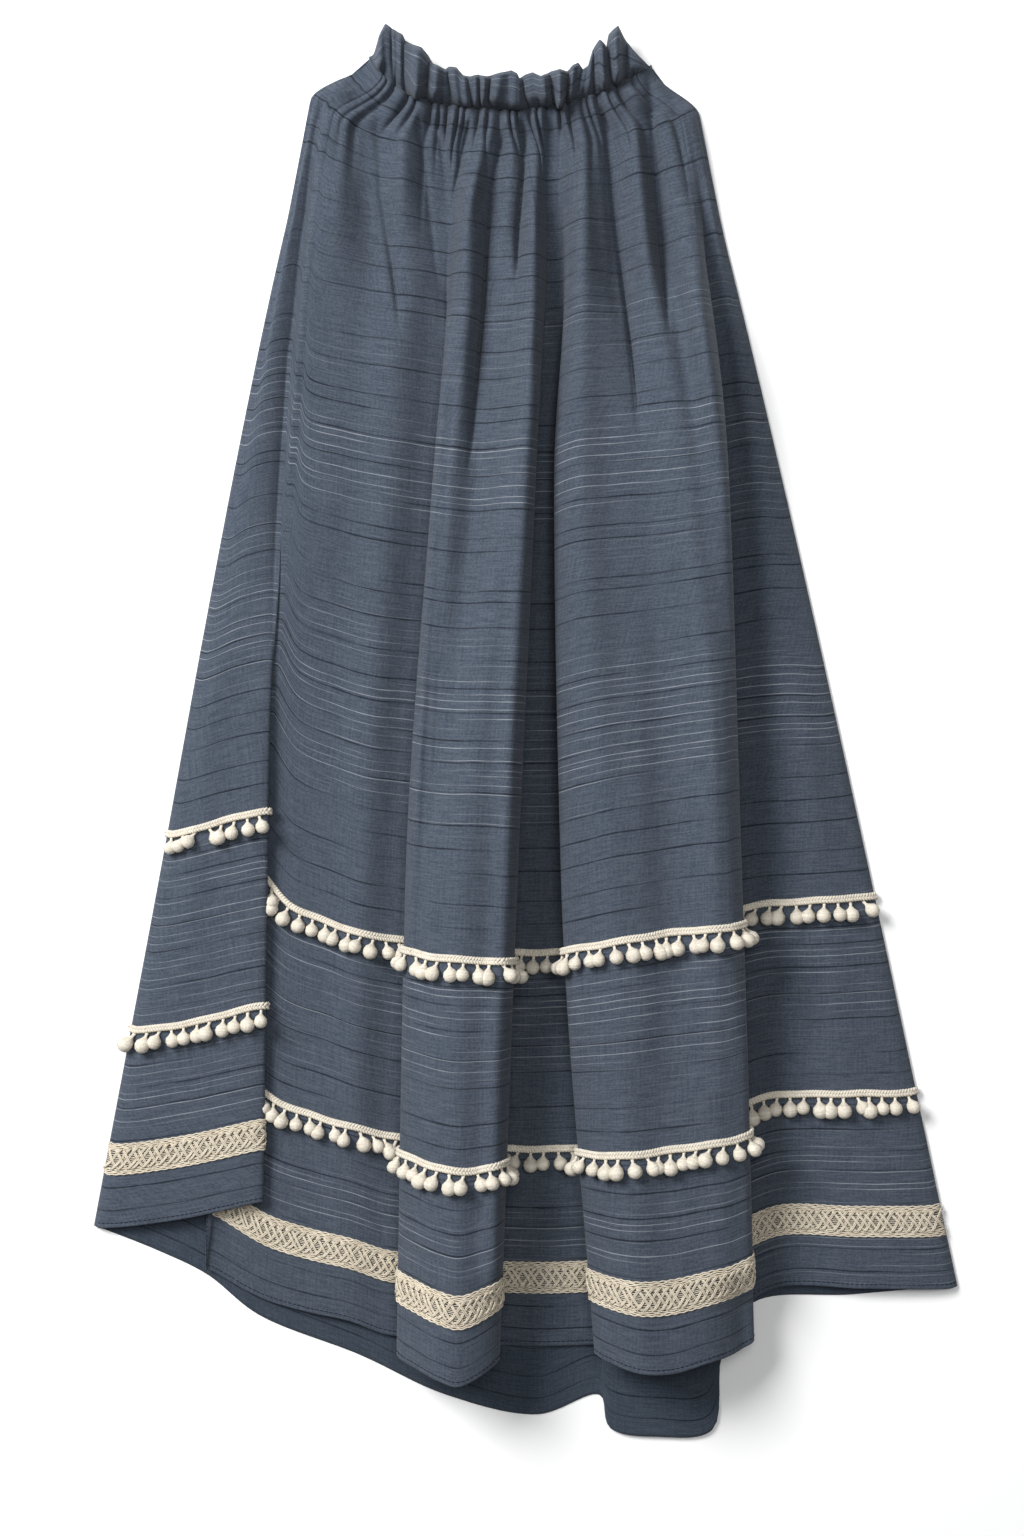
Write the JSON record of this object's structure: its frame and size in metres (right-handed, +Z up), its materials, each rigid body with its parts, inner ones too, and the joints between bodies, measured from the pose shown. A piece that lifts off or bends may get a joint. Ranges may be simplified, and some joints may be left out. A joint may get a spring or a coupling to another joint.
{
  "type": "gathered maxi skirt",
  "caption": "Long gathered skirt laid flat: ruffled elastic waist, deep folds down the front, two pompom trims and a lattice braid above the hem.",
  "frame": {"origin": "on the surface the skirt lies on, under the middle of its outline", "axes": "+Y towards the waist, +X towards the wearer's left side as seen from above, +Z up out of the front"},
  "size_m": [0.6556, 1.0782, 0.0785],
  "materials": {
    "slub_cloth": "matt slate-blue cotton slub weave",
    "pompom_trim": "ecru cotton tape and yarn pompoms",
    "lattice_braid": "natural braid with corded edges and a crossed lattice"
  },
  "bodies": {
    "root": {"front_panel": "slub_cloth", "back_panel": "slub_cloth", "waist_casing_front": "slub_cloth", "waist_casing_back": "slub_cloth", "waist_ruffle_front": "slub_cloth", "waist_ruffle_back": "slub_cloth", "pompom_trim_upper": "pompom_trim", "pompom_trim_lower": "pompom_trim", "hem_braid": "lattice_braid"}
  },
  "joints": []
}
